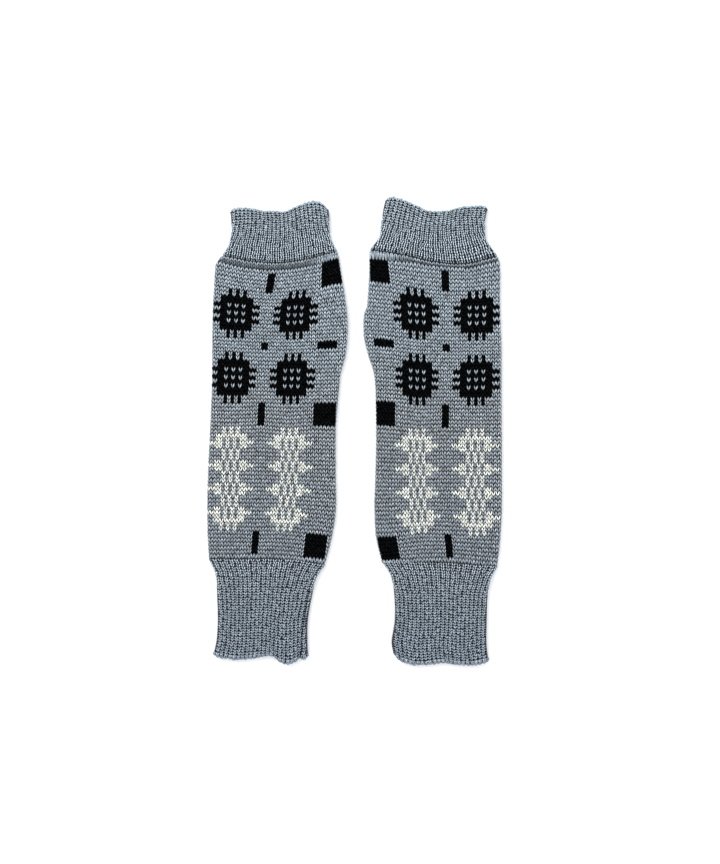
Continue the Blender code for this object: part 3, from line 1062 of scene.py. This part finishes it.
def yarn_colours(y, rise, shade, yarn):
    """A colour for each point, at a height y in metres, paler towards the fingers."""
    heights, *columns = np.array(GROUND_SHADES).T
    *ground, curve = (np.interp(y, heights, column) for column in columns)
    # Painted shade: the lower a point lies in its loop the darker it is painted, and the highest points are
    # painted lighter than the yarn.
    depth = np.clip(rise / rise.max(), 0, 1)
    lit = DEEP_SHADE + (TOP_SHADE - DEEP_SHADE) * depth**curve
    colour = np.stack(ground, axis=1) * (lit * np.clip(shade, *SHADE_LIMITS))[:, None]
    quiet = (lit * (1 + BLACK_SHADES * (shade - 1)))[:, None]
    colour = np.where((yarn == BLACK)[:, None], BLACK_WOOL * quiet, colour)
    pale = np.interp(depth, (0, 1), CREAM_SHADES) * (1 + PALE_SHADES * (shade - 1))
    return np.where((yarn == CREAM)[:, None], CREAM_WOOL * pale[:, None], colour)


def give_wool(mesh, unit, colour, yarns):
    """Store the colours on the points, and give black stitches their own material."""
    attribute = mesh.attributes.new("yarn", "FLOAT_COLOR", "POINT")
    rgba = np.concatenate([colour, np.ones((len(colour), 1))], axis=1)
    attribute.data.foreach_set("color", rgba.astype(np.float32).ravel())
    mesh.shade_smooth()
    mesh.materials.clear()
    mesh.materials.append(knitted_wool)
    if yarns is not None:
        mesh.materials.append(black_wool)
        faces = np.arange(len(mesh.polygons)) // len(unit.polygons)
        is_black = (yarns.ravel()[faces] == BLACK).astype(np.int32)
        mesh.polygons.foreach_set("material_index", is_black)


# %% [markdown]
# A rib gives way where the wide body pulls on it, and loops sink where another piece lies over them. Both
# could be sculpted by hand, but a few numbers do it for all ribs alike.

# %% Pull and sink the loops
# A loop's colour follows its height, so loops that sink here are painted darker and lifted ends lighter:
# painted shade.
UNDER_SEAM = 0.45  # how far the first course of a body sinks, because the linked seam lies over it
SEAM_CLEAR = (9, 13)  # it shows whole nearest the thumb, and sinks between these wales from there
SEAM_DIP = 0.4  # how far the last loops of the hand rib sink into the seam
DIP_COURSES = (-0.8, -0.2)


def pull_of(knit, course):
    """From 0 to 1, how wide a rib is pulled by the body that it is joined to."""
    if "hand" in knit.name:
        return np.interp(course, HAND_PULLED, (0, 1))
    if "wrist" in knit.name:
        return np.interp(course, WRIST_PULLED, (WRIST_PULL, 0))
    return np.zeros(len(course))


def stretched(knit, unit, points, course):
    """Where a rib is pulled wide, its legs stand upright and its purl bumps sink between them."""
    pull = pull_of(knit, course)
    within = (points[:, 0] + RIB_CELL[0] / 2) % RIB_CELL[0] - RIB_CELL[0] / 2
    is_bump = np.abs(within) > LEG_REACH
    unit_y = np.tile([vert.co.y for vert in unit.vertices], len(points) // len(unit.vertices))
    up = np.interp(unit_y, (RIB_LEG[0][1], RIB_LEG[-1][1]), (0, 1))
    x = points[:, 0] + np.where(is_bump, 0, pull * LEG_PART * (1 - up) * np.sign(within))
    lift = END_LIFT * (2 * up - 1) ** 2
    return x, points[:, 2] + pull * np.where(is_bump, -STRETCH_SINK, lift)


def sunk(knit, name, wale, course, rise, first_row):
    if name.endswith("hand_rib_stitches"):
        return rise - SEAM_DIP * np.interp(course - knit.courses, DIP_COURSES, (0, 1))
    if name.endswith("body_stitches"):
        share = np.interp(np.abs(knit.slit_wale - wale), SEAM_CLEAR, (0, 1))
        return rise - np.where(first_row, UNDER_SEAM * share, 0)
    return rise


# %% [markdown]
# Now the flat panel is laid round the mitten: its x counts wales and its y counts courses. A hand-fed
# machine never knits two stitches quite alike, so each is nudged a little first.

# %% Knit a panel
NUDGE = 0.04  # how far a stitch strays, as a share of its cell
RIB_NUDGE = 0.07
LEG_SHADES = 0.13  # how much the shade changes from one leg to the next


def knit_panel(
    name, knit, unit, first_wale, first_course, columns, rows, yarns=None, upper=True, tint=1.0
):
    is_rib = knit.slit_wale is None
    cell = RIB_CELL if is_rib else BODY_CELL
    mesh = repeated(unit, cell, columns, rows)
    mesh.name = name
    points = np.zeros(len(mesh.vertices) * 3)
    mesh.vertices.foreach_get("co", points)
    points = points.reshape(-1, 3)
    number = np.arange(len(points)) // len(unit.vertices)
    row, column = np.divmod(number, columns)
    nudge = chance.normal(0.0, RIB_NUDGE if is_rib else NUDGE, (columns * rows, 2))[number]
    course = first_course + 0.5 - points[:, 1] / cell[1] + nudge[:, 1]
    x, rise = stretched(knit, unit, points, course) if rows > 1 else (points[:, 0], points[:, 2])
    wale = first_wale + 0.5 + x / cell[0] + nudge[:, 0]
    rise = sunk(knit, name, wale, course, rise, row == 0)
    placed = lay_stitches(knit, wale, course, rise, np.full(len(points), upper), GROOVE_SINK)
    mesh.vertices.foreach_set("co", placed.astype(np.float32).ravel())
    leg = np.arange(len(points)) // (len(unit.vertices) // 2)
    # A panel's tint makes it lighter or darker as a whole; for the wrist's open loops and rolled edge it is
    # painted shade.
    shade = tint * (1 + chance.normal(0.0, LEG_SHADES, leg[-1] + 1)[leg])
    yarn = np.full(len(points), GREY) if yarns is None else yarns[row, column]
    give_wool(mesh, unit, yarn_colours(placed[:, 1], rise, shade, yarn), yarns)
    mesh.calc_loop_triangles()
    print(name, "has", len(mesh.loop_triangles), "triangles")
    return put(name, mesh)


# %% [markdown]
# Each piece gets a top panel and one underneath. The body's panels read the chart, from the left or from
# the right, so that the thumb of each mitten comes on its own side.

# %% Knit every panel
HAND_TINT = 1.2
WRIST_TINT = 1.3
HAND_FIRST = 0.4  # the first course of a hand rib hangs this far below its cast-on edge


def knit_rib(knit):
    is_hand = "hand" in knit.name
    first = HAND_FIRST if is_hand else 0.0
    size = (knit.wales, knit.courses if is_hand else knit.courses - 1)
    tint = HAND_TINT if is_hand else WRIST_TINT
    return [
        knit_panel(knit.name + "_stitches", knit, rib_unit, 0, first, *size, tint=tint),
        knit_panel(
            knit.name + "_under_stitches", knit, under_rib_unit, knit.wales, first, *size, upper=False
        ),
    ]


def knit_body(knit):
    seen = chart[:, ::-1] if knit.slit_wale > 0 else chart
    size = (BODY_WALES, len(seen))
    return [
        knit_panel(knit.name + "_stitches", knit, body_stitch, 0, FIRST_COURSE, *size, seen),
        knit_panel(
            knit.name + "_under_stitches", knit, under_stitch, BODY_WALES, FIRST_COURSE, *size,
            seen[:, ::-1], upper=False,
        ),
    ]


stitches = {}
for knit in knits:
    stitches[knit.name] = knit_rib(knit) if knit.slit_wale is None else knit_body(knit)

# %% [markdown]
# The linked seam. Where the rib meets the body, the two are linked loop by loop, which stands up as a
# narrow ridge of its own loops, one for each wale, between two shallow dark lines. Each loop is a short V
# like a stitch of the body, but it lies on top of everything.

# %% The linked seam
LINK_TINT = 0.85
LINK_LEG = rows_of("""
0.10 -1.35 0.10 0.18 0.18
0.32 -0.66 0.62 0.30 0.30
0.74 0.24 0.98 0.33 0.33
1.02 1.05 0.15 0.20 0.20
""")
link_stitch = unit_of("link_stitch", *legs(LINK_LEG))
for knit in knits:
    side, part = knit.name.split("_")[:2]
    if part == "body":
        seam = knit_panel(
            side + "_linked_seam", knit, link_stitch, 0, LINK_COURSE[side], 2 * knit.wales, 1, tint=LINK_TINT
        )
        stitches[knit.name].append(seam)

# %% [markdown]
# The edges. At the fingers the rib begins with a cast-on: a row of small arches, one over each rib. At
# the wrist it ends in a row of open loops with a rolled edge under them. An open loop is a ring of yarn: a
# small circle spun once round.

# %% The edges of the ribs
ARCH_HALF = [(-1.15, -1.5, 0.35, 0.34, 0.3), (-0.85, -0.45, 0.75, 0.48, 0.44)]
ARCH = ARCH_HALF + [(0.0, 0.05, 0.85, 0.50, 0.46)] + mirrored(ARCH_HALF)[::-1]
SWAG_HALF = [(-1.5, 0.75, 0.45, 0.40, 0.40), (-0.8, 0.1, 0.75, 0.55, 0.48)]
SWAG = SWAG_HALF + [(0.0, -0.1, 0.80, 0.58, 0.50)] + mirrored(SWAG_HALF)[::-1]
EDGE_SIDES = 5
LOOP_STEPS = 10
LOOP_RADIUS = 0.85
LOOP_THICKNESS = 0.32
LOOP_STRETCH = 1.05
LOOP_HEIGHT = 0.65
CAST_ON_COURSE = -0.25
LOOPS_UP = 1.6  # the open loops begin this many courses above the end of the rib
CAST_OFF_UP = 0.9
# Painted shade, as a share of the colour: the open loops and the rolled edge under them are painted darker.
HEM_SHADE = 0.85
ROLL_TINT = 0.6  # the rolled edge turns away from the light


def open_loop():
    bm = bmesh.new()
    stand = Matrix.Translation((LOOP_RADIUS, 0, 0)) @ Matrix.Rotation(math.pi / 2, 4, "X")
    made = bmesh.ops.create_circle(
        bm, cap_ends=False, segments=EDGE_SIDES, radius=LOOP_THICKNESS, matrix=stand
    )
    ring = made["verts"] + edges_of(made["verts"])
    turn = {"cent": (0, 0, 0), "axis": (0, 0, 1), "angle": 2 * math.pi, "steps": LOOP_STEPS}
    bmesh.ops.spin(bm, geom=ring, use_merge=True, **turn)
    bmesh.ops.scale(bm, verts=bm.verts, vec=(1, LOOP_STRETCH, 1))
    bmesh.ops.translate(bm, verts=bm.verts, vec=(0, 0, LOOP_HEIGHT))
    return unit_mesh(bm, "hem_loop")


def knit_edge(knit, name, unit, course, tint):
    edge = knit_panel(knit.name + name, knit, unit, 0, course, 2 * knit.wales, 1, tint=tint)
    stitches[knit.name].append(edge)


arch = unit_of("cast_on_arch", ARCH, sides=EDGE_SIDES)
swag = unit_of("cast_off_swag", SWAG, sides=EDGE_SIDES)
loop = open_loop()
for knit in knits:
    if "hand" in knit.name:
        knit_edge(knit, "_cast_on", arch, CAST_ON_COURSE, 1.0)
    if "wrist" in knit.name:
        knit_edge(knit, "_hem_loops", loop, knit.courses - LOOPS_UP, HEM_SHADE)
        knit_edge(knit, "_cast_off", swag, knit.courses - CAST_OFF_UP, ROLL_TINT)

# %% [markdown]
# Each plain cloth stands for its solid, and its stitches go with it. The whole pair is one body, because
# cloth has no joints.

# %% Say what each piece is
for knit in knits:
    base = cloths[knit.name]
    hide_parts(knit.name)
    for piece in [base, *stitches[knit.name]]:
        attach(piece, "root")

# %% [markdown]
# The studio: a plain white floor, one large soft light from the upper left, a weaker one opposite and a
# pale world. The camera looks straight down, and its distance and lens give 0.64 mm to a pixel.

# %% Floor, lights and camera
FLOOR_SIZE = 3.0
PHOTO_HEIGHT = 864 * 0.64 * MM
CAMERA_HEIGHT = 1.5
SENSOR = 36.0
LOOKS_AT = (3.3 * MM, -0.6 * MM)


def white_floor():
    bm = bmesh.new()
    bmesh.ops.create_grid(bm, x_segments=8, y_segments=8, size=FLOOR_SIZE / 2)
    material, _, shader = matt("white_paper", 0.1)
    shader.inputs["Base Color"].default_value = (0.97, 0.97, 0.97, 1.0)
    return piece_of(bm, "floor", [material])


def soft_light(name, place, size, power):
    data = bpy.data.lights.new(name, "AREA")
    data.shape = "SQUARE"
    data.size = size
    data.energy = power
    light = put(name, data)
    light.location = place
    light.rotation_euler = (-Vector(place)).to_track_quat("-Z", "Y").to_euler()


floor = white_floor()
soft_light("key_light", (-0.9, 0.9, 1.3), 0.8, 17.0)
soft_light("fill_light", (1.0, -0.8, 1.6), 1.6, 7.0)
world = bpy.data.worlds.new("pale_studio")
world.use_nodes = True
sky = world.node_tree.nodes["Background"]
sky.inputs["Color"].default_value = (0.95, 0.97, 1.0, 1.0)
sky.inputs["Strength"].default_value = 1.15
bpy.context.scene.world = world
bpy.context.scene.view_settings.view_transform = "Standard"

camera_data = bpy.data.cameras.new("camera")
camera_data.sensor_width = SENSOR
camera_data.lens = SENSOR * CAMERA_HEIGHT / PHOTO_HEIGHT
camera = put("camera", camera_data)
camera.location = (*LOOKS_AT, CAMERA_HEIGHT)
bpy.context.scene.camera = camera
print("lens:", round(camera_data.lens, 1), "mm")
